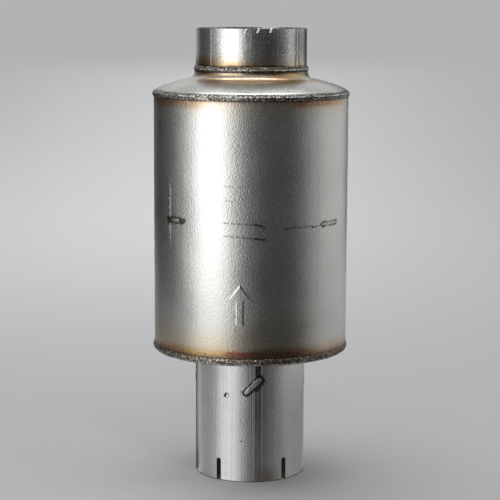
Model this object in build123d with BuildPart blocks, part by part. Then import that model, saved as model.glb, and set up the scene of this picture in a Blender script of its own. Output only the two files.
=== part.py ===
from build123d import *

import os
from math import acos, cos, degrees, hypot, radians, sin

# Inline spark arrestor for an engine exhaust, standing on its slotted inlet end.
# Gas enters the tube at the bottom and four helical vanes spin it. Sparks and carbon are
# thrown out to the wall of a wider tube, climb past the mouth of the outlet tube and drop
# into the trap round it. The clean core of the flow leaves by the outlet tube at the top.
# Millimetres, +Z up along the flow, origin at the centre of the inlet's mouth.
# An azimuth is in degrees from the front (-Y) towards +X.

# Sheet and tube stock
sheet = 1.6
tube_radius = 65.1
tube_bore = tube_radius - sheet
shell_radius = 114.3
shell_bore = shell_radius - sheet
separator_radius = 84.0
separator_bore = separator_radius - sheet

# Heights along the axis
shell_bottom = 155.0
shell_top = 453.5
overall_height = 529.0
inlet_tube_top = 196.0
separator_bottom = 216.0
separator_top = 312.0
outlet_tube_bottom = 292.0

# Slotted slip end of the inlet tube, sized a little wider than the tube's own bore
sized_bore = tube_bore + 0.15
sized_depth = 97.0
sizing_taper = 3.0
slot_count = 5
first_slot_azimuth = 37.9
slot_width = 6.0
slot_depth = 26.5

# Outlet spigot, sized a little wider than the tube that carries on below it
outlet_radius = tube_radius - 0.2
spigot_bottom = 486.0

# Three dimples in the inlet tube, which stop the exhaust pipe that is pushed in
dimple_count = 3
dimple_azimuth = -24.4
dimple_height = 103.7
dimple_ball = 4.0
dimple_depth = 1.6

# Swirl vanes: helicoid blades whose tips climb at 45 degrees
vane_count = 4
first_vane_azimuth = 3.3
vane_weld_height = 115.7
rise_per_radian = tube_radius
vane_thickness = 1.5
vane_tip_span = (103.0, 192.0)
vane_root_span = (112.0, 192.0)
vane_stations = 13

# Drawn steel core that the vanes are welded to
core_radius = 16.0
core_nose = 100.0
core_nose_length = 12.0
core_top = 193.0

# Domed head at the outlet
knuckle = 4.0
knuckle_turn = 66.0
knuckle_overhang = 1.8
dome_radius = 160.0
cove = 8.0
skirt_length = 14.0
collar_top = 480.5

# Recessed head at the inlet
inlet_panel_slope = 12.0
inlet_roll = 6.6
inlet_collar_height = 8.0

# Spun cone from the inlet tube to the separator tube
cone_bottom = 178.0
cone_flare = (186.0, 208.0)
cone_top = 228.0
cone_bend = 6.0

# Ring that closes the bottom of the trap and holds the separator tube
baffle_bottom = 297.0
baffle_top = 316.0
baffle_bend = 5.0
baffle_collar_top = 308.0

# Clean-out on the back, low in the trap
cleanout_azimuth = 180.0
cleanout_height = 340.0
bung_radius = 18.0
bung_inner_end = 106.0
bung_outer_end = 124.0
thread_radius = 13.3
thread_taper = 1.0 / 32.0
plug_depth = 15.0
plug_stand_off = 3.0
plug_head = 15.9
plug_head_height = 11.0
edge_break = 1.0

# Weld beads
rim_toe = 3.5
rim_bulge = 1.5
neck_toe = 1.1
neck_bulge = 2.3
seat_leg = 3.0
bung_bead = 4.5
vane_slot_size = (24.0, 4.0)
vane_bead_size = (30.0, 7.0)
vane_bead_height = 0.8
vane_weld_lean = 45.0
baffle_slot_size = (28.0, 3.6)
baffle_bead_size = (36.0, 5.6)
baffle_bead_height = 1.0
baffle_weld_places = ((-48.6, 312.3), (50.9, 308.6), (139.0, 310.0), (-138.0, 309.0))
seam_azimuth = -150.0
seam_gap = 2.0
seam_bead_width = 5.0
seam_bead_height = 0.6

os.makedirs("parts", exist_ok=True)


def save(piece, name):
    """Labels a finished piece and writes it as its own file."""
    piece.label = name
    export_step(piece, f"parts/{name}.step")


def outward(azimuth, height=0.0, radius=0.0):
    """Plane that faces outwards at an azimuth; its X runs round the part and its Y runs up."""
    turn = radians(azimuth)
    return Plane(
        origin=(radius * sin(turn), -radius * cos(turn), height),
        x_dir=(cos(turn), sin(turn), 0),
        z_dir=(sin(turn), -cos(turn), 0),
    )


def spin(*corners):
    """Solid of revolution from corners given as radius and height."""
    with BuildPart() as turned:
        with BuildSketch(Plane.XZ):
            with BuildLine():
                Polyline(*corners, close=True)
            make_face()
        revolve(axis=Axis.Z)
    return turned.part


def pipe(outer, inner, bottom, top):
    """Plain tube on the axis."""
    return spin((inner, bottom), (outer, bottom), (outer, top), (inner, top))


def wall_slot(azimuth, height, bore, size, lean=0.0):
    """Cutter for a round-ended slot through a tube's wall."""
    with BuildPart() as cutter:
        with BuildSketch(outward(azimuth, height, bore - sheet)):
            SlotOverall(*size, rotation=lean)
        extrude(amount=4 * sheet)
    return cutter.part


def wall_weld(azimuth, height, bore, slot, bead, bead_height, lean=0.0):
    """Weld that fills a slot through a tube's wall and stands proud of it as a rounded bead.

    It is made at the front, away from the seam of the tubes' round faces, and turned from there.
    """
    outer = bore + sheet
    reach = bead[0]
    with BuildPart() as filler:
        add(wall_slot(0, height, bore, slot, lean))
        add(pipe(outer, bore, height - reach, height + reach), mode=Mode.INTERSECT)
    with BuildPart() as crown:
        add(wall_slot(0, height, bore, bead, lean))
        add(pipe(outer + bead_height, outer, height - reach, height + reach), mode=Mode.INTERSECT)
        skin = crown.faces().filter_by(GeomType.CYLINDER).sort_by(SortBy.RADIUS)[-1]
        fillet(skin.edges(), 0.8 * bead_height)
    with BuildPart() as weld:
        add(filler.part)
        add(crown.part)
    return Rot(0, 0, azimuth) * weld.part


def ring_bead(toe, crest, end, roots, *neighbours):
    """Weld ring: an arc over three points, closed through the metal of the pieces it joins."""
    with BuildPart() as bead:
        with BuildSketch(Plane.XZ):
            with BuildLine():
                ThreePointArc(toe, crest, end)
                Polyline(end, *roots, toe)
            make_face()
        revolve(axis=Axis.Z)
        for neighbour in neighbours:
            add(neighbour, mode=Mode.SUBTRACT)
    return bead.part


vane_azimuths = [first_vane_azimuth + 360 * n / vane_count for n in range(vane_count)]
slot_azimuths = [first_slot_azimuth + 360 * n / slot_count for n in range(slot_count)]
dimple_azimuths = [dimple_azimuth + 360 * n / dimple_count for n in range(dimple_count)]
dimple_places = [
    outward(azimuth, dimple_height, tube_radius + dimple_ball - dimple_depth)
    for azimuth in dimple_azimuths
]

# Metal that the dimples push into the bore
with BuildPart() as dimple_metal:
    for place in dimple_places:
        with Locations(place):
            Sphere(dimple_ball + sheet)
    with Locations((0, 0, dimple_height)):
        Cylinder(tube_bore, 4 * dimple_ball, mode=Mode.INTERSECT)

# Inlet tube: sized and slotted at its mouth, dimpled, and slotted again for the vane welds
with BuildPart() as inlet_tube:
    add(
        spin(
            (sized_bore, 0),
            (tube_radius, 0),
            (tube_radius, inlet_tube_top),
            (tube_bore, inlet_tube_top),
            (tube_bore, sized_depth + sizing_taper),
            (sized_bore, sized_depth),
        )
    )
    add(dimple_metal.part)
    for place in dimple_places:
        with Locations(place):
            Sphere(dimple_ball, mode=Mode.SUBTRACT)
    for azimuth in slot_azimuths:
        add(wall_slot(azimuth, 0, tube_bore, (2 * slot_depth, slot_width), 90), mode=Mode.SUBTRACT)
    for azimuth in vane_azimuths:
        slot = wall_slot(azimuth, vane_weld_height, tube_bore, vane_slot_size, vane_weld_lean)
        add(slot, mode=Mode.SUBTRACT)
save(inlet_tube.part, "inlet_tube")

# Outlet tube: one length from the mouth of the trap to the outlet, its spigot sized up
with BuildPart() as outlet_tube:
    add(
        spin(
            (outlet_radius - sheet, outlet_tube_bottom),
            (outlet_radius, outlet_tube_bottom),
            (outlet_radius, spigot_bottom - sizing_taper),
            (tube_radius, spigot_bottom),
            (tube_radius, overall_height),
            (tube_bore, overall_height),
            (tube_bore, spigot_bottom),
            (outlet_radius - sheet, spigot_bottom - sizing_taper),
        )
    )
save(outlet_tube.part, "outlet_tube")

# Outlet head: skirt, knuckle, shallow dome, and a cove up to the collar round the tube
knuckle_height = shell_top + knuckle_overhang
collar_radius = outlet_radius + sheet
dome_centre = shell_bore - knuckle - (dome_radius - knuckle) * cos(radians(knuckle_turn))
cove_start = degrees(acos((collar_radius + cove - dome_centre) / (dome_radius + cove)))
with BuildPart() as outlet_head:
    with BuildSketch(Plane.XZ):
        with BuildLine():
            skirt = Line((shell_bore, knuckle_height - skirt_length), (shell_bore, knuckle_height))
            turned = JernArc(skirt @ 1, skirt % 1, knuckle, knuckle_turn)
            dome = JernArc(turned @ 1, turned % 1, dome_radius, cove_start - knuckle_turn)
            rise = JernArc(dome @ 1, dome % 1, cove, -cove_start)
            Line(rise @ 1, (collar_radius, collar_top))
            offset(amount=sheet, side=Side.LEFT)
        make_face()
    revolve(axis=Axis.Z)
save(outlet_head.part, "outlet_head")

# Inlet head: skirt, knuckle, a panel that rises inwards, and a collar turned up round the tube
inlet_knuckle_height = shell_bottom - knuckle_overhang
panel_end = tube_radius + inlet_roll * (1 - sin(radians(inlet_panel_slope)))
with BuildPart() as inlet_head:
    with BuildSketch(Plane.XZ):
        with BuildLine():
            skirt = Line(
                (shell_bore, inlet_knuckle_height + skirt_length), (shell_bore, inlet_knuckle_height)
            )
            turned = JernArc(skirt @ 1, skirt % 1, knuckle, -90 - inlet_panel_slope)
            panel_length = ((turned @ 1).X - panel_end) / cos(radians(inlet_panel_slope))
            panel = PolarLine(turned @ 1, panel_length, direction=turned % 1)
            roll = JernArc(panel @ 1, panel % 1, inlet_roll, inlet_panel_slope - 90)
            collar = PolarLine(roll @ 1, inlet_collar_height, direction=(0, 1))
            inlet_collar_bottom = (roll @ 1).Y
            offset(amount=sheet, side=Side.RIGHT)
        make_face()
    revolve(axis=Axis.Z)
save(inlet_head.part, "inlet_head")

# Shell: a rolled sheet, slotted for the baffle's plug welds and holed for the clean-out
shell_middle = (shell_bottom + shell_top) / 2
shell_height = shell_top - shell_bottom
with BuildPart() as shell:
    add(pipe(shell_radius, shell_bore, shell_bottom, shell_top))
    for azimuth, height in baffle_weld_places:
        add(wall_slot(azimuth, height, shell_bore, baffle_slot_size), mode=Mode.SUBTRACT)
    with BuildSketch(outward(cleanout_azimuth, cleanout_height)):
        Circle(bung_radius)
    extrude(amount=shell_radius + sheet, mode=Mode.SUBTRACT)
    with BuildSketch(outward(seam_azimuth, shell_middle)):
        Rectangle(seam_gap, shell_height)
    extrude(amount=shell_radius + sheet, mode=Mode.SUBTRACT)
save(shell.part, "shell")

# Seam weld: fills the gap in the rolled shell and crowns it between the two rim welds
bead_bottom = shell_bottom + rim_toe
bead_top = shell_top - rim_toe
with BuildPart() as seam_filler:
    with BuildSketch(outward(seam_azimuth, shell_middle)):
        Rectangle(seam_gap, shell_height)
    extrude(amount=shell_radius + sheet)
    add(pipe(shell_radius, shell_bore, shell_bottom, shell_top), mode=Mode.INTERSECT)
with BuildPart() as seam_crown:
    with BuildSketch(outward(seam_azimuth, shell_middle)):
        Rectangle(seam_bead_width, bead_top - bead_bottom)
    extrude(amount=shell_radius + sheet)
    add(pipe(shell_radius + seam_bead_height, shell_radius, bead_bottom, bead_top), mode=Mode.INTERSECT)
    crest = seam_crown.faces().filter_by(GeomType.CYLINDER).sort_by(SortBy.RADIUS)[-1]
    fillet(crest.edges(), 0.8 * seam_bead_height)
with BuildPart() as shell_seam_weld:
    add(seam_filler.part)
    add(seam_crown.part)
save(shell_seam_weld.part, "shell_seam_weld")

# Expansion cone: a collar on the inlet tube, a flare, and a collar inside the separator tube
with BuildPart() as expansion_cone:
    with BuildSketch(Plane.XZ):
        with BuildLine():
            FilletPolyline(
                (tube_radius + sheet, cone_bottom),
                (tube_radius + sheet, cone_flare[0]),
                (separator_bore, cone_flare[1]),
                (separator_bore, cone_top),
                radius=cone_bend,
            )
            offset(amount=sheet, side=Side.LEFT)
        make_face()
    revolve(axis=Axis.Z)
save(expansion_cone.part, "expansion_cone")

# Separator tube: the wall that the sparks are thrown against
with BuildPart() as separator_tube:
    add(pipe(separator_radius, separator_bore, separator_bottom, separator_top))
save(separator_tube.part, "separator_tube")

# Trap baffle: a pressed ring with one flange on the shell and one on the separator tube
with BuildPart() as trap_baffle:
    with BuildSketch(Plane.XZ):
        with BuildLine():
            FilletPolyline(
                (shell_bore, baffle_top),
                (shell_bore, baffle_bottom),
                (separator_radius, baffle_bottom),
                (separator_radius, baffle_collar_top),
                radius=baffle_bend,
            )
            offset(amount=sheet, side=Side.RIGHT)
        make_face()
    revolve(axis=Axis.Z)
save(trap_baffle.part, "trap_baffle")

# Core of the swirl vanes: a drawn cup with a rounded nose that meets the gas, and its cap
with BuildPart() as vane_core:
    nose_base = core_nose + core_nose_length
    core_bore = core_radius - sheet
    with BuildSketch(Plane.XZ):
        with BuildLine():
            EllipticalCenterArc((0, nose_base), core_radius, core_nose_length, 270, arc_size=90)
            Line((core_radius, nose_base), (core_radius, core_top))
            Line((core_radius, core_top), (core_bore, core_top))
            Line((core_bore, core_top), (core_bore, nose_base))
            EllipticalCenterArc((0, nose_base), core_bore, core_nose_length - sheet, 270, arc_size=90)
            Line((0, core_nose), (0, core_nose + sheet))
        make_face()
    revolve(axis=Axis.Z)
save(vane_core.part, "vane_core")

with BuildPart() as core_cap:
    with BuildSketch(Plane.XY.offset(core_top - sheet)):
        Circle(core_bore)
    extrude(amount=sheet)
save(core_cap.part, "core_cap")

# One swirl vane: a helicoid through radial sections, trimmed to the core, the bore and its edges
half_turn = (vane_tip_span[1] - vane_tip_span[0]) / rise_per_radian * 0.62
vane_mid_height = (vane_tip_span[0] + vane_tip_span[1]) / 2
section_radii = [0.8 * core_radius, 1.4 * core_radius, 2.4 * core_radius, tube_radius]
with BuildPart() as vane_sheet:
    for station in range(vane_stations):
        turn = half_turn * (2 * station / (vane_stations - 1) - 1)
        height = vane_mid_height + rise_per_radian * turn
        azimuth = first_vane_azimuth + degrees((height - vane_weld_height) / rise_per_radian)
        facing = outward(azimuth, height)
        section = Plane(origin=facing.origin, x_dir=facing.z_dir, z_dir=facing.x_dir)
        half_heights = [
            vane_thickness / 2 * hypot(1, rise_per_radian / radius) for radius in section_radii
        ]
        upper = list(zip(section_radii, half_heights))
        lower = [(radius, -half) for radius, half in reversed(upper)]
        with BuildSketch(section):
            with BuildLine():
                Polyline(*upper, *lower, close=True)
            make_face()
    loft()
with BuildPart() as swirl_vane:
    add(vane_sheet.part)
    vane_field = spin(
        (core_radius, vane_root_span[0]),
        (tube_bore, vane_tip_span[0]),
        (tube_bore, vane_tip_span[1]),
        (core_radius, vane_root_span[1]),
    )
    add(vane_field, mode=Mode.INTERSECT)
for index in range(vane_count):
    turned_vane = Rot(0, 0, 360 * index / vane_count) * swirl_vane.part
    save(turned_vane, f"swirl_vane_{index + 1}")

# Welds through the inlet tube onto the tips of the vanes
with BuildPart() as vane_slot_welds:
    for azimuth in vane_azimuths:
        place = (azimuth, vane_weld_height, tube_bore)
        add(wall_weld(*place, vane_slot_size, vane_bead_size, vane_bead_height, vane_weld_lean))
save(vane_slot_welds.part, "vane_slot_welds")

# Plug welds through the shell onto the flange of the trap baffle
with BuildPart() as baffle_plug_welds:
    for azimuth, height in baffle_weld_places:
        place = (azimuth, height, shell_bore)
        add(wall_weld(*place, baffle_slot_size, baffle_bead_size, baffle_bead_height))
save(baffle_plug_welds.part, "baffle_plug_welds")

# Rim welds: each wraps the shell's edge and runs on over the knuckle of its head
bead_angle = radians(knuckle_turn - 2)
bead_reach = shell_bore - knuckle + knuckle * cos(bead_angle)
bead_rise = knuckle * sin(bead_angle)


def rim_weld(edge, knuckle_centre, way, head):
    """Bead round one rim of the shell; way is 1 at the top rim and -1 at the bottom rim."""
    return ring_bead(
        (shell_radius, edge - way * rim_toe),
        (shell_radius + rim_bulge, knuckle_centre),
        (bead_reach, knuckle_centre + way * bead_rise),
        [
            (shell_bore - 0.6 * knuckle, knuckle_centre + way * 0.6 * knuckle),
            (shell_bore - sheet / 2, knuckle_centre),
            (shell_bore - sheet / 2, edge - way * sheet),
            (shell_bore + sheet / 2, edge - way * sheet),
        ],
        shell.part,
        shell_seam_weld.part,
        head,
    )


save(rim_weld(shell_top, knuckle_height, 1, outlet_head.part), "outlet_rim_weld")
save(rim_weld(shell_bottom, inlet_knuckle_height, -1, inlet_head.part), "inlet_rim_weld")

# Neck weld: joins the head's collar to the outlet tube, below the spigot
outlet_neck_weld = ring_bead(
    (collar_radius, collar_top - neck_toe),
    (tube_radius + neck_bulge, (collar_top + spigot_bottom) / 2 - 0.4),
    (tube_radius, spigot_bottom),
    [(outlet_radius - sheet / 2, spigot_bottom - sheet), (outlet_radius - sheet / 2, collar_top - sheet)],
    outlet_tube.part,
    outlet_head.part,
)
save(outlet_neck_weld, "outlet_neck_weld")

# Weld in the groove between the inlet head's rolled edge and the inlet tube
def roll_point(angle, radius):
    """Point at an angle and radius about the centre of the inlet head's roll."""
    turn = radians(angle)
    centre = tube_radius + inlet_roll
    return (centre + radius * cos(turn), inlet_collar_bottom + radius * sin(turn))


roll_middle = inlet_roll - sheet / 2
groove_floor = roll_point(200, roll_middle)[1]
inlet_neck_weld = ring_bead(
    (tube_radius, inlet_collar_bottom - inlet_roll - seat_leg),
    (tube_radius + seat_leg, inlet_collar_bottom - inlet_roll - 0.6 * seat_leg),
    roll_point(255, inlet_roll),
    [
        roll_point(255, roll_middle),
        roll_point(225, roll_middle),
        roll_point(200, roll_middle),
        (tube_radius - sheet / 2, groove_floor),
        (tube_radius - sheet / 2, inlet_collar_bottom - inlet_roll),
    ],
    inlet_tube.part,
    inlet_head.part,
)
save(inlet_neck_weld, "inlet_neck_weld")

# Fillet welds on the pieces inside: cone to inlet tube, cone to separator, baffle to separator
cone_inlet_weld = ring_bead(
    (tube_radius, cone_bottom - seat_leg),
    (tube_radius + 0.75 * sheet, cone_bottom - 0.6 * seat_leg),
    (tube_radius + sheet, cone_bottom),
    [(tube_radius - sheet / 2, cone_bottom)],
    inlet_tube.part,
)
save(cone_inlet_weld, "cone_inlet_weld")

cone_separator_weld = ring_bead(
    (separator_bore, separator_bottom - seat_leg),
    (separator_bore + 0.75 * sheet, separator_bottom - 0.6 * seat_leg),
    (separator_radius, separator_bottom),
    [(separator_bore - sheet / 2, separator_bottom)],
    expansion_cone.part,
)
save(cone_separator_weld, "cone_separator_weld")

baffle_collar_weld = ring_bead(
    (separator_radius + sheet, baffle_collar_top),
    (separator_radius + 0.75 * sheet, baffle_collar_top + 0.6 * seat_leg),
    (separator_radius, baffle_collar_top + seat_leg),
    [(separator_radius - sheet / 2, baffle_collar_top)],
    separator_tube.part,
)
save(baffle_collar_weld, "baffle_collar_weld")

# Clean-out: a bung through the shell with a tapered bore, its weld, and a square-headed plug
bung_length = bung_outer_end - bung_inner_end
with BuildPart() as cleanout_bung:
    with BuildSketch(outward(cleanout_azimuth, cleanout_height, bung_inner_end)):
        Circle(bung_radius)
    extrude(amount=bung_length)
    chamfer(cleanout_bung.edges().filter_by(GeomType.CIRCLE).sort_by(Axis.Y)[-1], edge_break)
    with BuildSketch(outward(cleanout_azimuth, cleanout_height, bung_outer_end)) as bung_mouth:
        Circle(thread_radius)
    with BuildSketch(outward(cleanout_azimuth, cleanout_height, bung_inner_end)) as bung_throat:
        Circle(thread_radius - bung_length * thread_taper)
    loft([bung_mouth.sketch, bung_throat.sketch], mode=Mode.SUBTRACT)
save(cleanout_bung.part, "cleanout_bung")

with BuildPart() as bung_weld:
    with Locations(outward(cleanout_azimuth, cleanout_height, shell_radius - edge_break)):
        Torus(bung_radius, bung_bead)
    with Locations((0, 0, cleanout_height)):
        Cylinder(shell_radius, 3 * bung_radius, mode=Mode.SUBTRACT)
    with BuildSketch(outward(cleanout_azimuth, cleanout_height)):
        Circle(bung_radius)
    extrude(amount=bung_outer_end, mode=Mode.SUBTRACT)
save(bung_weld.part, "bung_weld")

plug_inner_end = bung_outer_end - plug_depth
plug_shoulder = bung_outer_end + plug_stand_off
with BuildPart() as cleanout_plug:
    with BuildSketch(outward(cleanout_azimuth, cleanout_height, plug_inner_end)):
        Circle(thread_radius - plug_depth * thread_taper)
    with BuildSketch(outward(cleanout_azimuth, cleanout_height, plug_shoulder)):
        Circle(thread_radius + plug_stand_off * thread_taper)
    loft()
    with BuildSketch(outward(cleanout_azimuth, cleanout_height, plug_shoulder)):
        Rectangle(plug_head, plug_head)
    extrude(amount=plug_head_height)
    chamfer(cleanout_plug.faces().sort_by(Axis.Y)[-1].edges(), edge_break)
save(cleanout_plug.part, "cleanout_plug")
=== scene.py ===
import math

import bmesh
import bpy
import numpy as np
from mathutils import Matrix


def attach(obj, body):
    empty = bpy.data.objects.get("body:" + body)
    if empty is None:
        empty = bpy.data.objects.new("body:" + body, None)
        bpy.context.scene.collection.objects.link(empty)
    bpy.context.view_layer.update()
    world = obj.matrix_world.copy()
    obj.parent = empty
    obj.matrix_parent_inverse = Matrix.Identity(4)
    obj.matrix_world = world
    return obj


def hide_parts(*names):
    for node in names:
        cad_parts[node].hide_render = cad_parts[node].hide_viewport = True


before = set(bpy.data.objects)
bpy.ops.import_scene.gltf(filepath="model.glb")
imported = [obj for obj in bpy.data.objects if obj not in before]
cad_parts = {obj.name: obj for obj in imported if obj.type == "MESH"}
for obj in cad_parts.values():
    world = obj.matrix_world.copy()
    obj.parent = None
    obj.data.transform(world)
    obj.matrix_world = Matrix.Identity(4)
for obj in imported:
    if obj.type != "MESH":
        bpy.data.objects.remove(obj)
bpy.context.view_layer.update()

# Camera: a long lens 1.9 m in front of the part, just above the level of its outlet, tilted
# down on it. The photo's edges fix its place, and the small yaw and roll are the photo's own.
SENSOR_MM = 36.0
FRAME_PIXELS = 500
focal_pixels = 1643.0
eye = (0.0, -1.9355, 0.5631)
tilt = 0.152
yaw = 0.454 / focal_pixels
roll = 0.004
camera_data = bpy.data.cameras.new("camera")
camera_data.lens = SENSOR_MM * focal_pixels / FRAME_PIXELS
camera_data.clip_end = 20000
camera = bpy.data.objects.new("camera", camera_data)
bpy.context.collection.objects.link(camera)
camera.matrix_world = (
    Matrix.Translation(eye)
    @ Matrix.Rotation(yaw, 4, "Z")
    @ Matrix.Rotation(math.pi / 2 - tilt, 4, "X")
    @ Matrix.Rotation(roll, 4, "Z")
)
bpy.context.scene.camera = camera
bpy.context.scene.view_settings.view_transform = "Standard"

# Floor: a sheet of pale paper, laid flat and wide enough to run to the horizon.
# It lies a hair under the foot of the inlet tube, so that no two faces share a plane.
MM = 0.001


def grid_mesh(name, grids, close_rows=False, close_columns=False, grooves=None):
    """Mesh object from grids of points[row, column, xyz], a quad between each four neighbours.

    Rows run along a grid's first parameter and columns along its second, and either may close
    up. Where the columns alone do, the first and last rows are capped. Grids whose columns
    close up have their faces turned outwards. Grooves are arrays, one a grid, of how deep in a
    weld's ripples each point lies, from 0 to 1; the finish reads them to darken the ripples.
    """
    vertices, faces = [], []
    for points in grids:
        rows, columns, _ = points.shape
        first = len(vertices)
        row = np.arange(rows if close_rows else rows - 1)[:, None]
        column = np.arange(columns if close_columns else columns - 1)[None, :]
        next_row, next_column = (row + 1) % rows, (column + 1) % columns
        corners = [
            row * columns + column,
            row * columns + next_column,
            next_row * columns + next_column,
            next_row * columns + column,
        ]
        quads = np.stack([np.broadcast_to(c, corners[0].shape) for c in corners], axis=-1)
        vertices += points.reshape(-1, 3).tolist()
        faces += (quads.reshape(-1, 4) + first).tolist()
        if close_columns and not close_rows:
            end = np.arange(columns) + first
            faces += [end[::-1].tolist(), (end + (rows - 1) * columns).tolist()]
    mesh = bpy.data.meshes.new(name)
    mesh.from_pydata(vertices, [], faces)
    if close_columns:
        shape = bmesh.new()
        shape.from_mesh(mesh)
        bmesh.ops.recalc_face_normals(shape, faces=shape.faces)
        shape.to_mesh(mesh)
        shape.free()
    mesh.shade_smooth()
    if grooves is not None:
        layer = mesh.attributes.new("groove", "FLOAT", "POINT")
        layer.data.foreach_set("value", np.concatenate([depth.ravel() for depth in grooves]))
    piece = bpy.data.objects.new(name, mesh)
    bpy.context.collection.objects.link(piece)
    return piece


def around(azimuth, radius, height):
    """Points at azimuths in radians from the front (-Y) towards +X, radii and heights in mm.

    A point is (radius * sin azimuth, -radius * cos azimuth, height).
    """
    azimuth, radius, height = np.broadcast_arrays(azimuth, radius, height)
    return np.stack([radius * np.sin(azimuth), -radius * np.cos(azimuth), height], axis=-1) * MM


class Wire:
    """A socket of a material, so that sums and masks of sockets are written as plain Python.

    Finishes are worked out from Object coordinates, mostly as azimuth in degrees and height in
    mm. Other lengths are in mm too, but the sizes of noise and of bumps are in metres.
    """

    def __init__(self, tree, socket):
        self.tree, self.socket = tree, socket

    def node(self, kind, settings, sockets, output=0):
        """Adds a node: its settings first, then the value or the link of each named socket."""
        made = self.tree.nodes.new(kind)
        for name, value in settings.items():
            setattr(made, name, value)
        for name, value in sockets.items():
            if isinstance(value, Wire):
                self.tree.links.new(value.socket, made.inputs[name])
            else:
                made.inputs[name].default_value = value
        return Wire(self.tree, made.outputs[output])

    def math(self, operation, *values):
        """A Math node with this wire as its first value."""
        return self.node("ShaderNodeMath", {"operation": operation}, dict(enumerate((self, *values))))

    def __add__(self, other):
        return self.math("ADD", other)

    def __sub__(self, other):
        return self.math("SUBTRACT", other)

    def __rsub__(self, other):
        return (self * -1).math("ADD", other)

    def __mul__(self, other):
        return self.math("MULTIPLY", other)

    def __truediv__(self, other):
        return self.math("DIVIDE", other)

    __radd__, __rmul__ = __add__, __mul__

    def rise(self, low, high):
        """0 below low, 1 above high, and a smooth step between; falls if low is above high."""
        sockets = {"Value": self, "From Min": low, "From Max": high}
        return self.node("ShaderNodeMapRange", {"interpolation_type": "SMOOTHSTEP"}, sockets)

    def near(self, middle, width, blur):
        """1 within half the width of a value, fading to 0 over the blur."""
        return (self - middle).math("ABSOLUTE").rise(width / 2 + blur, width / 2)

    def stroke(self, height, radius, start, end):
        """Distance in mm from a straight stroke drawn on a tube of this radius.

        This wire is the azimuth in degrees, and the stroke runs between two points given as
        azimuth and height. On the unrolled tube the distance is the root of the squares of
        how far a point lies across the stroke and how far beyond its ends.
        """
        arc = math.radians(1) * radius
        run, climb = (end[0] - start[0]) * arc, end[1] - start[1]
        length = math.hypot(run, climb)
        middle = ((start[0] + end[0]) / 2, (start[1] + end[1]) / 2)
        along_x, along_z = run / length, climb / length
        x = (self - middle[0]).math("WRAP", 180, -180) * arc
        z = height - middle[1]
        beyond = ((x * along_x + z * along_z).math("ABSOLUTE") - length / 2).math("MAXIMUM", 0)
        across = z * along_x - x * along_z
        return (beyond * beyond + across * across).math("SQRT")

    def stretched(self, x, y, z):
        """Coordinates times a factor on each axis."""
        return self.node("ShaderNodeVectorMath", {"operation": "MULTIPLY"}, {0: self, 1: (x, y, z)})

    def length(self):
        """Length of a vector."""
        return self.node("ShaderNodeVectorMath", {"operation": "LENGTH"}, {0: self}, "Value")

    def noise(self, size, detail=2.0, roughness=0.5):
        """Cloudy noise about 0, from -0.5 to 0.5, with patches of about the size given."""
        sockets = {"Vector": self, "Scale": 1 / size, "Detail": detail, "Roughness": roughness}
        return self.node("ShaderNodeTexNoise", {}, sockets, "Fac") - 0.5

    def tinted(self, colour, mask):
        """This colour mixed towards another by a mask."""
        settings = {"data_type": "RGBA", "clamp_factor": True}
        return self.node("ShaderNodeMix", settings, {0: mask, 6: self, 7: (*colour, 1)}, 2)

    def shaded(self, factor):
        """This colour times a factor."""
        return self.node("ShaderNodeVectorMath", {"operation": "SCALE"}, {0: self, "Scale": factor})

    def bump(self, height, distance):
        """Surface normal with a height pattern on it; the distance is in metres."""
        sockets = {"Height": height, "Distance": distance}
        if self.socket.name == "Normal":
            sockets["Normal"] = self
        return self.node("ShaderNodeBump", {}, sockets, "Normal")

    def cylinder(self):
        """Azimuth in degrees from the front towards +X, and height in mm, of these coordinates."""
        split = self.node("ShaderNodeSeparateXYZ", {}, {0: self}).socket.node
        x, y, z = (Wire(self.tree, split.outputs[axis]) for axis in "XYZ")
        return x.math("ARCTAN2", y * -1) * math.degrees(1), z / MM


def start_finish(name):
    """New material, its Object coordinates, and the azimuth and height that they give."""
    material = bpy.data.materials.new(name)
    material.use_nodes = True
    tree = material.node_tree
    tree.nodes.clear()
    place = Wire(tree, tree.nodes.new("ShaderNodeTexCoord").outputs["Object"])
    return material, place, *place.cylinder()


def end_finish(place, **sockets):
    """Surface from the named sockets of the Principled shader."""
    named = {name.replace("_", " ").title(): value for name, value in sockets.items()}
    surface = place.node("ShaderNodeBsdfPrincipled", {}, named, "BSDF")
    out = place.tree.nodes.new("ShaderNodeOutputMaterial")
    place.tree.links.new(surface.socket, out.inputs["Surface"])


floor_drop = 0.05
floor_radii = (0.5, 3000.0, 10000000.0)
full_turn = np.linspace(0, 2 * np.pi, 96, endpoint=False)[:, None]
floor_points = around(full_turn, np.array(floor_radii)[None, :], -floor_drop)
floor = grid_mesh("floor", [floor_points], close_rows=True)
floor_material, place, azimuth, height = start_finish("floor_paper")
end_finish(place, base_color=(0.75, 0.75, 0.765, 1), roughness=0.9)
floor.data.materials.append(floor_material)

# Screen: a round wall with a foot, close about the part, that shows only in its metal.
# It glows bright at the left, dark in front and at the far left, and grey to the right, so
# that its reflections make the bands that the photo's metal has.
tube_radius = 65.1
foot_radius = 66.0
foot_rings = 8
screen_radius = 340.0
screen_lift = 0.4
screen_top = 1700.0


def plain_colour(place, colour):
    """A colour as a wire."""
    made = place.tree.nodes.new("ShaderNodeRGB")
    made.outputs[0].default_value = (*colour, 1)
    return Wire(place.tree, made.outputs[0])


screen_foot = np.linspace(foot_radius, screen_radius, foot_rings)
screen_radii = np.append(screen_foot, screen_radius)[None, :]
screen_heights = np.append(np.full(foot_rings, screen_lift), screen_top)[None, :]
screen_points = around(full_turn, screen_radii, screen_heights)
screen = grid_mesh("screen", [screen_points], close_rows=True)
screen_material, place, azimuth, height = start_finish("screen_light")
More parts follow.
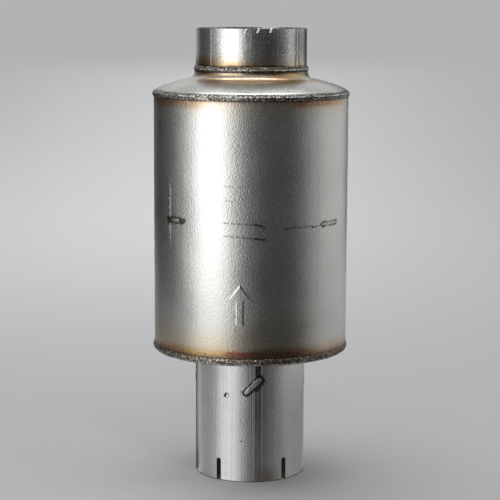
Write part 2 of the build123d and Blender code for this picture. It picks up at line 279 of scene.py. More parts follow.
# A point at radius r that the tube shows at azimuth a lies at about (2 - tube radius / r) * a.
# So a point of the foot gets the azimuth of the wall's point that shows at the same place.
turned = 2 - place.stretched(1, 1, 0).length().math("POWER", -1) * (tube_radius * MM)
azimuth = azimuth / turned * (2 - tube_radius / screen_radius)
azimuth = azimuth.math("MINIMUM", 180).math("MAXIMUM", -180)
# The inlet tube shows what is lower, and the outlet tube what is beside the neck.
upper = height.rise(80, 104)
lower = 1 - upper
beside_neck = height.near(505, 40, 12)
level = 0.47 + height.rise(0, 380) * 0.21
# The dark band right of the middle, wider and darker on the drum than on the inlet tube.
level = level * (1 - azimuth.near(26, 26, 52) * 0.91 * upper)
level = level * (1 - azimuth.near(24, 18, 45) * 0.78 * lower)
# The grey left of the bright band, the back, and the dark strip along the drum's left edge.
level = level * (1 - azimuth.near(-104, 22, 34) * (0.25 + height.rise(20, 260) * 0.62))
level = level * (1 - azimuth.near(180, 80, 20) * (0.25 + height.rise(160, 300) * 0.55))
far_left = height.rise(60, 120) * 0.35 + height.rise(160, 300) * 0.4
level = level * (1 - azimuth.near(-140, 50, 10) * (far_left * (1 - beside_neck * 0.6)))
# The inlet tube's dark left edge, and its right side near the floor.
level = level * (1 - azimuth.near(-160, 40, 8) * lower * 0.95)
level = level * (1 - azimuth.near(98, 60, 30) * (1 - height.rise(10, 60)) * 0.34)
# The outlet tube's right side.
level = level * (1 - azimuth.near(128, 72, 10) * beside_neck * 0.6)
level = level * (1 - azimuth.near(46, 40, 10) * beside_neck * 0.7)
# The light beside the inlet tube's dark edge.
level = level + azimuth.near(-128, 14, 10) * 0.16 * lower
# The bright band, stronger towards the drum's top.
key_upper = azimuth.near(-38.5, 12, 24) * (0.55 + height.rise(60, 300) * 1.05)
level = level + azimuth.near(-42, 18, 24) * 0.55 * lower + key_upper * upper
# The sides of the dome, its face, and at the very top the bright line along its knuckle.
behind = azimuth.math("ABSOLUTE").rise(142, 154)
level = level + behind * height.rise(540, 554) * 0.5
over = height.rise(560, 620)
over_level = 1.0 - height.rise(600, 650) * 0.5 + height.rise(950, 1050) * 2.4
level = level * (1 - over) + over_level * over
end_finish(
    place,
    base_color=(0, 0, 0, 1),
    roughness=1.0,
    emission_color=plain_colour(place, (1.0, 1.0, 0.985)).shaded(level),
    emission_strength=1.0,
)
screen.data.materials.append(screen_material)
screen.visible_camera = screen.visible_diffuse = screen.visible_shadow = False
screen.visible_transmission = screen.visible_volume_scatter = False

# Lights: an even pale room, and a wide sun overhead that gives the soft shade at the foot.
# A long narrow light high above brightens the floor behind the part, and the metal can't see it.
light_data = bpy.data.lights.new("floor_light", "AREA")
light_data.shape = "RECTANGLE"
light_data.size = 0.27
light_data.size_y = 7.9
light_data.spread = math.radians(19)
light_data.energy = 12.8
light = bpy.data.objects.new("floor_light", light_data)
bpy.context.collection.objects.link(light)
light.location = (-0.21, -0.05, 7.18)
light.rotation_euler = (math.radians(43), 0, 0)
light.visible_camera = light.visible_glossy = False

overhead_data = bpy.data.lights.new("overhead", "SUN")
overhead_data.energy = 0.87
overhead_data.angle = math.radians(56)
overhead = bpy.data.objects.new("overhead", overhead_data)
bpy.context.collection.objects.link(overhead)
overhead.rotation_euler = (math.radians(-12), math.radians(-8), 0)

world = bpy.data.worlds.new("studio")
bpy.context.scene.world = world
world.use_nodes = True
world.node_tree.nodes["Background"].inputs["Color"].default_value = (0.33, 0.33, 0.333, 1)

# Drum: one sheet of aluminised steel, rolled, seam welded at the back and tinted by its welds.
# Fine scratches and scorched outlines lie on it, and the heat of its rim welds browned its ends.
STEEL = (0.57, 0.57, 0.56)
STRAW = (0.55, 0.49, 0.38)
OLIVE = (0.42, 0.37, 0.27)
GOLD = (0.52, 0.36, 0.13)
BRONZE = (0.42, 0.24, 0.12)
RUST = (0.30, 0.09, 0.06)
UMBER = (0.15, 0.09, 0.06)
SOOT_AND_SHADE = (0.05, 0.043, 0.038)
drum_radius = 114.3
drum_toes = (158.5, 450.0)
left_weld = -48.6
# Each plug weld's azimuth, height and lean in degrees, and half the length of its middle line.
plug_welds = ((left_weld, 312.3, 1), (52.4, 308.9, 1), (139.0, 310.0, 2), (-138.0, 309.0, -2))
plug_reach = 12.5


def dress(nodes, material):
    """Gives nodes of the frame their finish."""
    for node in nodes:
        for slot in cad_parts[node].material_slots:
            slot.material = material


shell_material, place, azimuth, height = start_finish("drum_sheet")
dent = place.noise(0.045, 1)
cloud = place.noise(0.05, 3)
speck = place.noise(0.0019, 1, 0.6)
rolled = place.stretched(1, 1, 0.08).noise(0.006, 3)
fringe = place.stretched(1, 1, 0.35).noise(0.03, 4) * 5
patchy = 0.8 + place.noise(0.008, 3) * 0.9 + speck * 2.2
colour = plain_colour(place, STEEL).shaded(1 + cloud * 0.3 + speck * 0.2)
# Heat tint above the lower rim weld: pale and wide first, then darker and closer to the weld.
above = height - drum_toes[0] + fringe
colour = colour.tinted(STRAW, above.rise(48, 10) * azimuth.near(-40, 60, 30) * 0.8)
colour = colour.tinted(STRAW, above.rise(24, 6) * 0.6)
colour = colour.tinted(OLIVE, above.rise(70, 20) * azimuth.near(16, 22, 18) * 0.6)
colour = colour.tinted(STRAW, above.rise(50, 10) * azimuth.near(-80, 20, 20) * 0.6)
colour = colour.tinted(BRONZE, above.rise(15, 4) * azimuth.near(16, 130, 20) * 0.65 * patchy)
colour = colour.tinted(BRONZE, above.rise(12, 3) * azimuth.near(-52, 24, 10) * 0.8 * patchy)
colour = colour.tinted(GOLD, above.rise(11, 5) * azimuth.near(-27, 22, 12) * 0.7 * patchy)
colour = colour.tinted(RUST, above.rise(10, 6) * azimuth.near(-3, 15, 8) * patchy)
colour = colour.tinted(RUST, above.rise(9, 4) * azimuth.near(30, 14, 8) * 0.45 * patchy)
colour = colour.tinted(UMBER, above.rise(17, 5) * azimuth.near(18, 22, 14) * 0.75)
colour = colour.tinted(RUST, above.rise(7, 2) * azimuth.near(-66, 14, 10) * 0.8 * patchy)
colour = colour.tinted(BRONZE, above.rise(6, 1) * 0.6 * patchy)
colour = colour.tinted(SOOT_AND_SHADE, above.rise(2.6, 0) * 0.6 * patchy)
colour = colour.tinted(SOOT_AND_SHADE, (above + speck * 24).rise(5, 1) * 0.6)
# Heat tint below the upper rim weld.
below = drum_toes[1] - height + fringe
colour = colour.tinted(STRAW, below.rise(26, 6) * 0.5)
colour = colour.tinted(BRONZE, below.rise(13, 4) * azimuth.near(-58, 44, 14) * 0.85 * patchy)
colour = colour.tinted(BRONZE, below.rise(11, 4) * azimuth.near(45, 30, 14) * 0.85 * patchy)
colour = colour.tinted(RUST, below.rise(7, 3) * azimuth.near(40, 18, 12) * 0.5 * patchy)
colour = colour.tinted(BRONZE, below.rise(7, 2) * 0.4 * patchy)
colour = colour.tinted(SOOT_AND_SHADE, below.rise(2.8, 0) * 0.85 * patchy)
# Dark scratches: start and end as azimuth and height, half width, and strength.
marks = (
    ((19.0, 307.0), (38.0, 308.2), 0.8, 0.5),
    ((38.0, 306.6), (47.5, 308.4), 0.5, 0.9),
    ((-15.0, 314.0), (3.0, 312.6), 0.6, 0.5),
    ((3.0, 313.0), (8.0, 309.5), 0.9, 0.9),
    ((-15.0, 299.4), (3.0, 297.0), 0.6, 0.6),
    ((3.0, 297.0), (8.0, 295.8), 0.8, 0.85),
    ((-15.0, 355.0), (-2.0, 354.2), 0.4, 0.3),
    ((-15.0, 339.0), (-9.0, 338.6), 0.4, 0.3),
    ((20.6, 340.0), (21.2, 275.0), 0.3, 0.15),
)
broken = place.noise(0.003, 2).rise(-0.2, 0.05)
for start, end, width, strength in marks:
    drawn = azimuth.stroke(height + fringe * 0.4, drum_radius, start, end)
    colour = colour.tinted(SOOT_AND_SHADE, drawn.rise(width + 0.9, width) * broken * strength)
# A bright broken scratch runs up past the left plug weld.
scratch = azimuth.near(-53.9, 0.9, 0.6) * height.near(320, 44, 20) * speck.rise(-0.05, 0.06)
colour = colour.tinted((0.95, 0.95, 0.93), scratch * 0.9)
# Each plug weld has a ragged burnt outline, heavier round the left one.
ragged = place.noise(0.005, 2) * 6
heavy = azimuth.near(left_weld, 12, 6) * 1.1
for middle, level, lean in plug_welds:
    half = math.degrees(plug_reach / drum_radius)
    climb = plug_reach * math.tan(math.radians(lean))
    ends = (middle - half, level - climb), (middle + half, level + climb)
    around_weld = azimuth.stroke(height, drum_radius, *ends) + speck * 2 + ragged
    colour = colour.tinted(SOOT_AND_SHADE, (around_weld - heavy).rise(3.8, 2.6) * 0.97)
    colour = colour.tinted(STRAW, around_weld.rise(8, 4) * 0.2)
end_finish(
    place,
    base_color=colour,
    metallic=1.0,
    roughness=0.28 + cloud * 0.10 + speck * 0.15,
    normal=place.bump(dent, 0.0007).bump(speck + rolled * 0.2 + scratch * 0.9, 0.0003),
)
dress(["shell"], shell_material)

# Flow arrow: pressed into the drum from inside, so it stands proud with rounded shoulders.
# It points up, the way that the gas goes, so that the part is fitted the right way round.
arrow_azimuth = math.radians(-6.0)
arrow_height = 221.0
arrow_length = 50.0
arrow_head = 22.0
arrow_widths = (12.0, 34.0)
shoulder = 3.2
arrow_rise = 1.1
patch_half = (20, 28)
patch_sink = 0.3


def distance_to(x, z, start, end):
    """Distance of points from the straight line between two points, past its ends too."""
    run, climb = end[0] - start[0], end[1] - start[1]
    share = ((x - start[0]) * run + (z - start[1]) * climb) / (run**2 + climb**2)
    share = np.clip(share, 0, 1)
    return np.hypot(x - start[0] - share * run, z - start[1] - share * climb)


arrow_x = np.linspace(-patch_half[0], patch_half[0], 141)[:, None]
arrow_z = np.linspace(-patch_half[1], patch_half[1], 197)[None, :]
shaft_half, head_half = arrow_widths[0] / 2, arrow_widths[1] / 2
tail, tip = -arrow_length / 2, arrow_length / 2
barb = tip - arrow_head
half_outline = [(0, tip), (head_half, barb), (shaft_half, barb), (shaft_half, tail), (0, tail)]
outline = half_outline + [(-x, z) for x, z in half_outline[-2:0:-1]]
edges = zip(outline, outline[1:] + outline[:1])
away = np.min([distance_to(arrow_x, arrow_z, *edge) for edge in edges], axis=0)
in_shaft = (np.abs(arrow_x) < shaft_half) & (arrow_z > tail) & (arrow_z <= barb)
in_head = (arrow_z > barb) & (np.abs(arrow_x) < head_half * (tip - arrow_z) / arrow_head)
inside = np.where(in_shaft | in_head, away, 0)
# Half a cosine wave lifts the face over the shoulder, from just under the drum's skin.
bell = (1 - np.cos(np.pi * np.clip(inside / shoulder, 0, 1))) / 2
face_radius = drum_radius - patch_sink + (arrow_rise + patch_sink) * bell
patch_azimuth = arrow_azimuth + arrow_x / drum_radius
face = around(patch_azimuth, face_radius, arrow_height + arrow_z)
back_face = around(patch_azimuth, drum_radius - 4 * patch_sink + 0 * away, arrow_height + arrow_z)
arrow_points = np.concatenate([face, back_face[:, ::-1]], axis=1)
arrow = grid_mesh("flow_arrow", [arrow_points], close_columns=True)
arrow.data.materials.append(shell_material)
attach(arrow, "root")

# Rim welds: one pass round each rim, from the drum's edge over the knuckle of its head.
# The pool froze in crescents, which stay as ripples, with burnt metal along both toes.
rim_pitch = 2.6
rim_depth = 0.45


def wander(turn, seed):
    """Slow uneven drift round a full turn, about -1 to 1: a sum of sines with seeded phases."""
    waves = (2, 5, 9, 16, 27)
    phases = np.random.default_rng(seed).uniform(0, 2 * np.pi, len(waves))
    return sum(np.sin(wave * turn + phase) for wave, phase in zip(waves, phases)) / 3


def freeze_lines(length, across, pitch, bow):
    """Depth, 0 to 1, of the grooves between the crescents of a weld.

    Crescents are a pitch apart along the length, and their middles run ahead by the bow.
    Across goes from -1 to 1 over the bead, and the depth is 1 less a root of |sin|.
    """
    return 1 - np.abs(np.sin(np.pi * (length + bow * across**2) / pitch)) ** 0.7


def ring_bead(toe, crest, end, roots, pitch, depth, seed):
    """Grid of a weld bead round the axis, from (radius, height) points of its section.

    The section is the arc through toe, crest and end, closed over the roots, which lie in the
    metal of the sheets. The face sinks towards the arc's centre at the grooves and where the
    bead wanders, and stays on the sheets at both toes.
    """
    middle = (np.array(toe) + np.array(end)) / 2
    chord = np.array(end) - np.array(toe)
    square = np.array([-chord[1], chord[0]]) / 2
    to_crest = np.array(crest) - middle
    offset = (to_crest @ to_crest - chord @ chord / 4) / (2 * to_crest @ square)
    centre = middle + offset * square
    bend = np.hypot(*(np.array(toe) - centre))
    angles = [math.atan2(*(np.array(point) - centre)[::-1]) for point in (toe, crest, end)]
    for index in (1, 2):
        while angles[index] - angles[index - 1] > math.pi:
            angles[index] -= 2 * math.pi
        while angles[index] - angles[index - 1] < -math.pi:
            angles[index] += 2 * math.pi
    across = np.linspace(-1, 1, 13)[None, :]
    angle = angles[0] + (angles[2] - angles[0]) * (across + 1) / 2
    girth = 2 * np.pi * crest[0]
    rows_per_pitch = 7
    rows = int(girth / pitch * rows_per_pitch)
    turn = np.linspace(0, 2 * np.pi, rows, endpoint=False)[:, None]
    whole_pitch = girth / round(girth / pitch)
    length = turn * crest[0] + 0.6 * wander(turn, seed)
    edge = 1 - across**4
    ripple = freeze_lines(length, across, whole_pitch, bow=1.8)
    sink = depth * ripple * (0.75 + 0.25 * wander(turn, seed + 1))
    sink = (sink + 0.22 * (1 + wander(turn, seed + 2))) * edge
    radius = centre[0] + (bend - sink) * np.cos(angle)
    height = centre[1] + (bend - sink) * np.sin(angle)
    hidden = np.array(roots)
    inside = around(turn, hidden[None, :, 0], hidden[None, :, 1])
    grooves = np.concatenate([ripple * edge, np.zeros((rows, len(roots)))], axis=1)
    return np.concatenate([around(turn, radius, height), inside], axis=1), grooves


def scaled_colour(place, cloud, scale):
    """Colour of as-welded steel: grey metal under patchy black scale, thicker in the grooves."""
    groove = place.node("ShaderNodeAttribute", {"attribute_name": "groove"}, {}, "Fac")
    black = (scale * 2.4 + cloud * 1.2 + groove * 0.5 + 0.05).rise(-0.15, 0.3)
    return plain_colour(place, (0.46, 0.44, 0.40)).tinted(SOOT_AND_SHADE, black * 0.92)


def bead_finish(name, painted_highlight_line, dark_below, dark_above, browned, burnt):
    """Finish of a weld ring: scaled, burnt at both toes, and with a painted highlight along one line.

    The highlight's line and the ranges over which it darkens below and above and turns brown are
    heights.
    Burnt is how much more scale lies on the right of the front than on its left.
    """
    material, place, azimuth, height = start_finish(name)
    cloud = place.noise(0.03, 3) + azimuth.near(60, 80, 50) * burnt
    scale = place.noise(0.0026, 3, 0.65)
    speck = place.noise(0.0021, 1, 0.6)
    colour = scaled_colour(place, cloud, scale)
    wavy = height + scale * 2.6
    # A painted highlight along the line, broken up by specks.
    lit = wavy.near(painted_highlight_line, 0.6, 0.5) * speck.rise(-0.12, 0.08)
    colour = colour.tinted((0.75, 0.73, 0.70), lit * (0.8 + cloud * 2))
    colour = colour.tinted(SOOT_AND_SHADE, speck.rise(-0.02, -0.16) * 0.85)
    colour = colour.tinted(SOOT_AND_SHADE, wavy.rise(*dark_below) * 0.95)
    colour = colour.tinted(SOOT_AND_SHADE, wavy.rise(*dark_above) * 0.9)
    colour = colour.tinted((0.78, 0.76, 0.72), speck.rise(0.07, 0.2) * 0.6)
    colour = colour.tinted(BRONZE, height.rise(*browned) * (0.13 + scale))
    end_finish(
        place,
        base_color=colour,
        metallic=0.95,
        roughness=0.38 + cloud * 0.15 + scale * 0.3,
        normal=place.bump(scale * 0.6 + speck, 0.0009),
    )
    return material


def lay_weld(bead, finish, node):
    """Finishes a bead, and has it stand for the weld of that name in the frame."""
    bead.data.materials.append(finish)
    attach(bead, "root")
    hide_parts(node)


upper_rim, upper_grooves = ring_bead(
    toe=(drum_radius, 449.6),
    crest=(115.8, 454.4),
    end=(112.1, 457.4),
    roots=[(111.6, 456.4), (111.9, 455.3), (113.5, 451.9)],
    pitch=rim_pitch,
    depth=rim_depth,
    seed=11,
)
upper_finish = bead_finish(
    "rim_weld_upper",
    painted_highlight_line=454.8,
    dark_below=(451.0, 449.4),
    dark_above=(456.2, 457.0),
    browned=(451.5, 449.5),
    burnt=0.2,
)
upper_bead = grid_mesh("outlet_rim_bead", [upper_rim], True, True, [upper_grooves])
lay_weld(upper_bead, upper_finish, "outlet_rim_weld")

lower_rim, lower_grooves = ring_bead(
    toe=(drum_radius, drum_toes[0]),
    crest=(115.8, 153.2),
    end=(110.45, 149.6),
    roots=[(110.3, 150.8), (111.9, 153.2), (113.5, 156.6)],
    pitch=rim_pitch,
    depth=rim_depth,
    seed=23,
)
lower_finish = bead_finish(
    "rim_weld_lower",
    painted_highlight_line=151.6,
    dark_below=(150.6, 149.7),
    dark_above=(157.2, 158.6),
    browned=(153.6, 156.0),
    burnt=0.18,
)
lower_bead = grid_mesh("inlet_rim_bead", [lower_rim], True, True, [lower_grooves])
lay_weld(lower_bead, lower_finish, "inlet_rim_weld")

# Heads: pressed from the drum's sheet, the upper one domed up to its collar and the lower one
# set in. Rim welds hold both, and the neck weld's heat browned the upper one's collar.
head_material, place, azimuth, height = start_finish("head_sheet")
dent = place.noise(0.05, 1)
cloud = place.noise(0.04, 3)
speck = place.noise(0.0019, 1, 0.6)
patchy = 0.8 + place.noise(0.01, 3) * 1.2 + speck
near_weld = height + cloud * 1.6
colour = plain_colour(place, STEEL).shaded(1 + cloud * 0.3 + speck * 0.3)
# At the collar's foot: straw, a brown ring of heat tint and painted shade, and a thin gold line in
# the hollow.
brown_tint_and_shade = near_weld.near(469.8, 1.0, 1.4) * azimuth.near(10, 80, 40)
gold_line = near_weld.near(471.8, 0.5, 0.7) * azimuth.near(0, 90, 30)
colour = colour.tinted(STRAW, height.rise(465, 470) * azimuth.near(8, 70, 40) * 0.7)
colour = colour.tinted(BRONZE, brown_tint_and_shade * 0.75 * patchy)
colour = colour.tinted(BRONZE, near_weld.rise(467.5, 470) * azimuth.near(33, 14, 9) * 0.5)
colour = colour.tinted((0.66, 0.48, 0.22), gold_line * 0.8)
# Up the collar, to the soot under its weld.
collar = near_weld.rise(472, 475)
colour = colour.tinted(BRONZE, near_weld.rise(472.5, 476) * 0.5 * patchy)
colour = colour.tinted(BRONZE, collar * azimuth.near(-52, 24, 14) * 0.8 * patchy)
colour = colour.tinted(BRONZE, collar * azimuth.near(27, 10, 10) * 0.8 * patchy)
colour = colour.tinted(GOLD, collar * azimuth.near(55, 30, 10) * 0.6 * patchy)
colour = colour.tinted(SOOT_AND_SHADE, near_weld.rise(477.8, 479.2) * 0.85)
normal = place.bump(dent, 0.0007).bump(speck, 0.0003)
end_finish(place, base_color=colour, metallic=1.0, roughness=0.26 + cloud * 0.12, normal=normal)
dress(["outlet_head", "inlet_head"], head_material)

# Outlet tube: drawn tube, with a scarfed seam, its end opened up on a segmented mandrel.
# The mandrel's gaps left a ridge and small nicks at the edge, with painted highlights; the weld
# browned its foot.
outlet_end = 529.0
neck_toe = 486.0
nicks = (-4.8, 7.4, 20.3)
spigot_material, place, azimuth, height = start_finish("spigot_tube")
dent = place.noise(0.04, 1)
cloud = place.noise(0.02, 3)
speck = place.noise(0.0022, 1, 0.6)
drawn = place.stretched(1, 1, 0.03).noise(0.002, 3)
fringe = place.stretched(1, 1, 0.5).noise(0.02, 4) * 10
grain = 1 + cloud * 0.2 + drawn * 0.5 + speck * 0.9
colour = plain_colour(place, (0.58, 0.58, 0.575)).shaded(grain)
above = height - neck_toe + fringe
colour = colour.tinted(STRAW, above.rise(17, 6) * 0.7)
colour = colour.tinted(BRONZE, above.rise(15, 4) * azimuth.near(-62, 34, 16) * 0.85)
colour = colour.tinted(GOLD, above.rise(8, 2) * azimuth.near(-24, 44, 14) * 0.5)
colour = colour.tinted(BRONZE, above.rise(8, 1) * 0.4)
colour = colour.tinted(SOOT_AND_SHADE, above.rise(3, 0.5) * 0.85)
wavy = place.stretched(0, 0, 1).noise(0.006, 3) * 5
seam = (azimuth + wavy).near(52.0, 0.6, 0.9) + (azimuth - wavy).near(57.2, 0.5, 0.9)
colour = colour.tinted(SOOT_AND_SHADE, seam * 0.85)
# Painted highlights beside the seam, and a ridge in the bump with a painted highlight along it.
seam_highlights = azimuth.near(47.4, 0.8, 0.8) + azimuth.near(54.6, 0.6, 0.8) + azimuth.near(66.0, 2.0, 3.0)
ridge_and_highlight = azimuth.near(-45.5, 0.6, 0.8)
colour = colour.tinted((0.85, 0.85, 0.84), ridge_and_highlight * 0.7 + seam_highlights * 0.4)
relief = drawn * 0.2 + speck * 0.55 + ridge_and_highlight * 0.4 - seam * 0.4
# Each nick stands in the bump, with a painted glint on it.
for middle in nicks:
    nick_ends = (middle, outlet_end - 1), (middle - 1.0, outlet_end - 3.6)
    nick_and_glint = azimuth.stroke(height, tube_radius, *nick_ends)
    colour = colour.tinted((0.98, 0.98, 0.97), nick_and_glint.rise(1.3, 0.7))
    relief = relief + nick_and_glint.rise(1.5, 0) * 2.5
end_finish(
    place,
    base_color=colour,
    metallic=1.0,
    roughness=0.20 + cloud * 0.08 + drawn * 0.08 + speck * 0.06,
    normal=place.bump(dent, 0.0003).bump(relief, 0.0003),
)
dress(["outlet_tube"], spigot_material)

# Neck weld: one narrow pass that joins the outlet tube to the collar of the upper head.
# It is scaled like the rim welds, with a dark groove where it bites into the collar.
neck_ring, neck_grooves = ring_bead(
    toe=(66.5, 479.4),
    crest=(67.4, 482.85),
    end=(tube_radius, neck_toe),
    roots=[(64.1, 484.4), (64.1, 478.9)],
    pitch=2.4,
    depth=0.4,
    seed=37,
)
neck_finish = bead_finish(
    "neck_weld",
    painted_highlight_line=482.4,
    dark_below=(481.6, 480.4),
    dark_above=(483.6, 485.0),
    browned=(484.2, 485.6),
    burnt=0.25,
)
neck_bead = grid_mesh("outlet_neck_bead", [neck_ring], True, True, [neck_grooves])
lay_weld(neck_bead, neck_finish, "outlet_neck_weld")

# Inlet tube: drawn tube that stands on its slotted end, with a dark scarfed seam at the front.
# The die left bright and dark lines along it, and rust starts at its foot beside the seam.
seam_azimuth = 8.4
# Each dark die line's azimuth, width and strength, and each bright one's azimuth and strength.
dark_lines = (
    (-1.6, 0.5, 0.35),
    (2.0, 0.5, 0.6),
    (4.0, 0.3, 0.5),
    (6.0, 0.5, 0.85),
    (11.0, 0.5, 0.75),
    (14.6, 0.4, 0.5),
    (16.8, 0.4, 0.4),
)
bright_lines = ((3.0, 0.9), (4.9, 0.6), (12.6, 0.8), (-21.8, 0.4), (20.5, 0.3))
inlet_slots = [37.9 + 72 * n for n in range(5)]
dimples = (-24.4, 95.6, -144.4)
# Each vane weld's azimuth and height, and half of what its middle line runs and climbs.
vane_welds = [(3.3 + 90 * n, 115.7) for n in range(4)]
vane_reach = 8.13

tube_material, place, azimuth, height = start_finish("drawn_tube")
dent = place.noise(0.04, 1)
cloud = place.noise(0.03, 3)
speck = place.noise(0.0022, 1, 0.6)
drawn = place.stretched(1, 1, 0.015).noise(0.002, 3)
blotch = place.noise(0.012, 3)
streaky = 0.8 + place.stretched(1, 1, 0.12).noise(0.004, 3) * 1.6
grain = 1 + cloud * 0.25 + drawn * 0.4 + speck * 0.3
colour = plain_colour(place, (0.60, 0.60, 0.60)).shaded(grain)
seam = azimuth.near(seam_azimuth, 4.6, 0.8) * height.rise(-60, 110)
colour = colour.tinted((0.10, 0.10, 0.11), seam * streaky * 0.75)
colour = colour.tinted(SOOT_AND_SHADE, azimuth.near(seam_azimuth, 3.4, 1.0) * height.rise(112, 128) * 0.8)
faded = 0.45 + height.rise(20, 110) * 0.55
for middle, width, strength in dark_lines:
    line = azimuth.near(middle, width, 0.5)
    colour = colour.tinted(SOOT_AND_SHADE, line * streaky * (faded * strength))
for middle, strength in bright_lines:
    line = azimuth.near(middle, 0.5, 0.4)
    colour = colour.tinted((0.92, 0.92, 0.92), line * streaky * strength)
# Rust at the foot, a dark edge to stand on, slot walls painted black as the shade inside the slots,
# and one pit.
rusty = azimuth.near(20, 14, 9) * height.rise(24, 6) * (0.6 + blotch)
colour = colour.tinted((0.42, 0.34, 0.27), rusty)
colour = colour.tinted(SOOT_AND_SHADE, (height + blotch * 1.5).rise(1.4, 0.2) * 0.8)
for middle in inlet_slots:
    beside = azimuth.stroke(height, tube_radius, (middle, -1), (middle + 0.001, 23.5))
    colour = colour.tinted((0.004, 0.004, 0.004), beside.rise(3.15, 3.0))
pit = azimuth.stroke(height, tube_radius, (-9.4, 49.4), (-8.4, 49.0))
colour = colour.tinted(SOOT_AND_SHADE, pit.rise(1.0, 0.4) * 0.9)
# Each dimple has painted shade on its upper left and a painted highlight in its lower right.
for middle in dimples:
    shade = azimuth.stroke(height, tube_radius, (middle - 1.5, 104.8), (middle - 2.6, 102.6))
    shine = azimuth.stroke(height, tube_radius, (middle + 0.6, 102.2), (middle + 1.0, 101.8))
    colour = colour.tinted(SOOT_AND_SHADE, shade.rise(2.2, 0.8) * 0.8)
    colour = colour.tinted((1.0, 1.0, 1.0), shine.rise(1.5, 0.8) * 0.9)
# Each vane weld has a burnt outline, and a burn on its right.
for middle, level in vane_welds:
    half = math.degrees(vane_reach / tube_radius)
    ends = (middle - half, level - vane_reach), (middle + half, level + vane_reach)
    around_weld = azimuth.stroke(height, tube_radius, *ends)
    colour = colour.tinted(SOOT_AND_SHADE, (around_weld + speck * 5).rise(5.2, 4.3) * 0.97)
    burnt = azimuth.stroke(height, tube_radius, (middle + 4, 111), (middle + 11, 122))
    colour = colour.tinted(SOOT_AND_SHADE, (burnt + speck * 3).rise(3.0, 1.6) * 0.8)
end_finish(
    place,
    base_color=colour,
    metallic=1.0,
    roughness=0.26 + cloud * 0.10 + drawn * 0.12 + seam * 0.08,
    normal=place.bump(dent, 0.0004).bump(drawn * 0.3 + speck * 0.7 - seam * 0.2, 0.0003),
)
dress(["inlet_tube"], tube_material)

# Welds through walls: a slot is cut in the tube or drum, and weld fills it down to the piece
# behind and stands proud as an uneven pad, with ripples across it and a burnt outline.
pad_depth = 1.5
pad_sink = 0.15


def weld_pad(radius, middle, level, lean, length, width, proud, pitch, groove, seed):
    """Grid of a weld pad on a tube: rows along the pad, columns across its face and its root.

    The half width is half * (1 - |u|^3)^0.5 for u from -1 to 1 along the pad, and the face
    stands proud by (1 - v^2)^0.6 for v across it, less its ripples. The root lies in the wall.
    """
    rows_per_pitch, fewest_rows = 7, 48
    rows = max(int(length / pitch * rows_per_pitch), fewest_rows)
    along = np.linspace(-0.99, 0.99, rows)[:, None]
    across = np.linspace(-1, 1, 11)[None, :]
    uneven = 1 + 0.10 * wander(along * 2.4, seed)
    half_width = width / 2 * np.sqrt(1 - np.abs(along) ** 3) * uneven
    ripple = groove * freeze_lines(along * length / 2, across, pitch, bow=1.2)
    crown = (1 - across**2) ** 0.6 * (1 - along**8) * (0.82 + 0.18 * wander(along * 3, seed + 1))
    face_radius = radius - pad_sink + (proud * crown - ripple * (1 - across**2))
    root_across = across[:, ::-1] * 0.9
    root_radius = np.full_like(face_radius, radius - pad_depth)
    side = np.concatenate([across + 0 * along, root_across + 0 * along], axis=1) * half_width
    lean = math.radians(lean)
    x = along * length / 2 * math.cos(lean) - side * math.sin(lean)
    z = along * length / 2 * math.sin(lean) + side * math.cos(lean)
    points = around(
        math.radians(middle) + x / radius,
        np.concatenate([face_radius, root_radius], axis=1),
        level + z,
    )
    return points, np.concatenate([ripple / groove, 0 * root_radius], axis=1)


clean_material, place, azimuth, height = start_finish("plug_weld")
scale = place.noise(0.0026, 3, 0.65)
colour = plain_colour(place, (0.56, 0.56, 0.545)).tinted(SOOT_AND_SHADE, scale.rise(-0.04, 0.14) * 0.75)
# The left plug weld is black at both its ends.
burnt_ends = (azimuth - left_weld).math("ABSOLUTE").rise(1.6, 4.2) * azimuth.near(left_weld, 16, 1)
colour = colour.tinted(SOOT_AND_SHADE, burnt_ends * 0.9)
normal = place.bump(scale, 0.0005)
end_finish(place, base_color=colour, metallic=1.0, roughness=0.3 + scale * 0.3, normal=normal)
vane_sizes = {"length": 29.0, "width": 6.6, "proud": 0.75, "pitch": 2.6, "groove": 0.3}
vane_pads = [
    weld_pad(tube_radius, middle, level, 45, seed=41 + index, **vane_sizes)
    for index, (middle, level) in enumerate(vane_welds)
]
plug_sizes = {"length": 30.0, "width": 4.2, "proud": 0.6, "pitch": 2.4, "groove": 0.25}
plug_pads = [
    weld_pad(drum_radius, middle, level, lean, seed=53 + index, **plug_sizes)
    for index, (middle, level, lean) in enumerate(plug_welds)
]
for name, pads, node in (
    ("vane_slot_pads", vane_pads, "vane_slot_welds"),
    ("baffle_plug_pads", plug_pads, "baffle_plug_welds"),
):
    grids, grooves = zip(*pads)
    piece = grid_mesh(name, grids, close_columns=True, grooves=grooves)
    lay_weld(piece, clean_material, node)

# Seam weld: a low straight bead down the back of the drum, from one rim weld to the other.
# It closes the rolled sheet, and was left as welded, grey under a thin black scale.
pad_material, place, azimuth, height = start_finish("pad_weld")
cloud = place.noise(0.012, 2)
scale = place.noise(0.0026, 3, 0.65)
end_finish(
    place,
    base_color=scaled_colour(place, cloud - 0.12, scale),
    metallic=0.95,
    roughness=0.36 + scale * 0.3,
    normal=place.bump(scale, 0.0005),
)
seam_pad, seam_grooves = weld_pad(
    drum_radius,
    middle=-150.0,
    level=304.25,
    lean=90,
    length=292.0,
    width=5.0,
    proud=0.6,
    pitch=2.2,
    groove=0.2,
    seed=71,
)
seam_bead = grid_mesh("shell_seam_bead", [seam_pad], close_columns=True, grooves=[seam_grooves])
lay_weld(seam_bead, pad_material, "shell_seam_weld")

# Clean-out: a turned bung welded into the back of the drum, and a black iron pipe plug in it.
# Its taper thread shows between the bung's mouth and the square head.
bung_height = 340.0
bung_mouth = 124.0
bung_radius = 18.0
thread_pitch = 2.2
thread_length = 3.0
thread_root = 13.0
thread_depth = 0.75
thread_core = 12.6
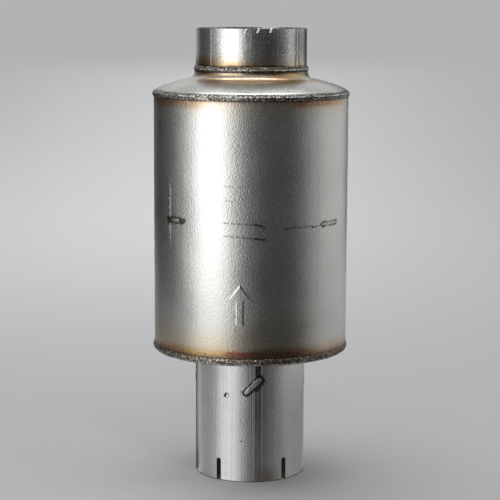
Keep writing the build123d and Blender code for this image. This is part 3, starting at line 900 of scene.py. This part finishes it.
# The thread is a triangle wave of the distance along it less a pitch for each turn.
thread_turn = np.linspace(0, 2 * np.pi, 96, endpoint=False)[:, None]
thread_along = np.linspace(0.0, thread_length, 25)[None, :]
advance = thread_along - thread_pitch * thread_turn / (2 * np.pi)
wave = np.abs((advance / thread_pitch) % 1 - 0.5) * 2
thread_radius = thread_root + thread_depth * wave
core_radius = np.full_like(thread_radius, thread_core)
radii = np.concatenate([thread_radius, core_radius[:, ::-1]], axis=1)
along = np.concatenate([thread_along, thread_along[:, ::-1]], axis=1) + 0 * thread_turn
thread_x = radii * np.cos(thread_turn)
thread_z = bung_height + radii * np.sin(thread_turn)
thread_points = np.stack([thread_x, bung_mouth + along, thread_z], axis=-1)
plug_thread = grid_mesh("plug_thread", [thread_points * MM], close_rows=True, close_columns=True)

# The bung's fillet: a quarter round from the bung to the drum's curved skin, with 50 ripples.
fillet_leg = 4.3
fillet_groove = 0.3
fillet_middle = 21
fillet_pitch = 2 * np.pi * fillet_middle / 50
fillet_sink = 0.3
fillet_uneven = 0.2
fillet_root = 1
bead_turn = np.linspace(0, 2 * np.pi, 330, endpoint=False)[:, None]
bead_angle = np.linspace(0, np.pi / 2, 10)[None, :]
ripple = freeze_lines(bead_turn * fillet_middle, bead_angle - 0.8, fillet_pitch, bow=1.2)
bead_leg = fillet_leg - fillet_groove * ripple - fillet_uneven
bead_leg = bead_leg - fillet_uneven * wander(bead_turn, 83)
bead_reach = bung_radius + bead_leg * np.cos(bead_angle)
bead_rise = bead_leg * np.sin(bead_angle)
bead_reach = np.concatenate([bead_reach, bung_radius - fillet_root + 0 * bead_turn], axis=1)
bead_rise = np.concatenate([bead_rise, -fillet_root + 0 * bead_turn], axis=1)
bead_x = bead_reach * np.cos(bead_turn)
bead_z = bung_height + bead_reach * np.sin(bead_turn)
skin = np.sqrt(drum_radius**2 - bead_x**2) - fillet_sink
bead_points = np.stack([bead_x, skin + bead_rise, bead_z], axis=-1)
bung_bead = grid_mesh("bung_bead", [bead_points * MM], close_rows=True, close_columns=True)
lay_weld(bung_bead, pad_material, "bung_weld")

plug_material, place, azimuth, height = start_finish("malleable_iron")
cloud = place.noise(0.01, 3)
speck = place.noise(0.0012, 3)
colour = plain_colour(place, (0.05, 0.05, 0.052)).shaded(1 + cloud * 0.6 + speck * 0.4)
normal = place.bump(speck, 0.00025)
end_finish(place, base_color=colour, metallic=0.7, roughness=0.5 + cloud * 0.2, normal=normal)
dress(["cleanout_plug"], plug_material)
plug_thread.data.materials.append(plug_material)
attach(plug_thread, "root")

turned_material, place, azimuth, height = start_finish("turned_steel")
cloud = place.noise(0.01, 3)
speck = place.noise(0.001, 2)
colour = plain_colour(place, (0.44, 0.43, 0.41)).shaded(1 + cloud * 0.4 + speck * 0.2)
normal = place.bump(speck, 0.00008)
end_finish(place, base_color=colour, metallic=1.0, roughness=0.36 + cloud * 0.15, normal=normal)
dress(["cleanout_bung"], turned_material)

# Inside: vanes, core, cone, separator tube and baffle of mill sheet, which the photo doesn't
# show, joined by fillet welds that were left as welded.
inner_material, place, azimuth, height = start_finish("mill_sheet")
cloud = place.noise(0.04, 3)
speck = place.noise(0.002, 3)
colour = plain_colour(place, (0.42, 0.41, 0.39)).shaded(1 + cloud * 0.5 + speck * 0.2)
normal = place.bump(speck, 0.00008)
end_finish(place, base_color=colour, metallic=1.0, roughness=0.42 + cloud * 0.2, normal=normal)
sheets = ["expansion_cone", "separator_tube", "trap_baffle", "vane_core", "core_cap"]
vanes = [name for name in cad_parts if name.startswith("swirl_vane")]
dress(sheets + vanes, inner_material)
fillets = ["inlet_neck_weld", "cone_inlet_weld", "cone_separator_weld", "baffle_collar_weld"]
dress(fillets, pad_material)
